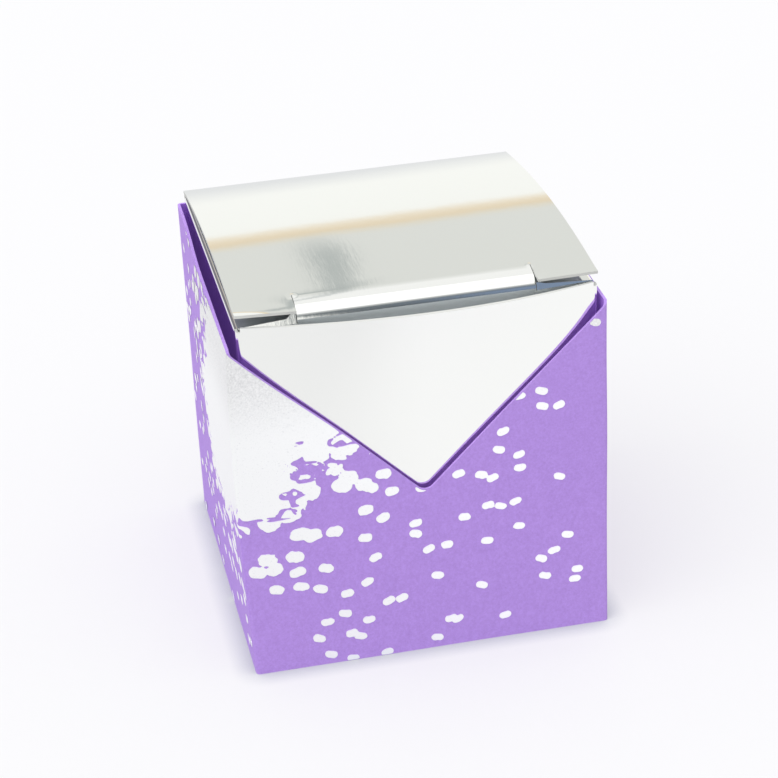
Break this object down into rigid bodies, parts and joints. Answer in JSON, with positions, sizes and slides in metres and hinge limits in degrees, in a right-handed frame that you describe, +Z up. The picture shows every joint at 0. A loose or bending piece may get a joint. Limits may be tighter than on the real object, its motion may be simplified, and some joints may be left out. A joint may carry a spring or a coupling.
{
  "type": "favor box",
  "caption": "Small cube gift box: a silver folded-card carton with a tuck lid, standing in a purple card sleeve with a V-shaped front notch and silver foil spatter.",
  "frame": {"origin": "middle of the carton's footprint, on the surface that the box stands on", "axes": "+Z up, the notched front of the sleeve faces -Y, +X to the right of someone who looks at the front"},
  "size_m": [0.052, 0.0542, 0.0565],
  "materials": {
    "purple_card": "uncoated, dyed through",
    "silver_foil": "hot-stamped foil, bright with a fine grain",
    "silver_card": "mirror-laminated outside, plain white board inside"
  },
  "bodies": {
    "sleeve": {"sleeve": "purple_card", "foil_print": "silver_foil"},
    "carton": {"carton": "silver_card"},
    "lid": {"lid": "silver_card"}
  },
  "joints": [
    {"name": "carton_slide", "type": "slide", "parent": "sleeve", "child": "carton", "axis": [0, 0, 1], "range_m": [0, 0.056]},
    {"name": "lid_hinge", "type": "hinge", "parent": "carton", "child": "lid", "pos_m": [0, 0.0248, 0.0538], "axis": [-1, 0, 0], "range_deg": [0, 180]}
  ]
}
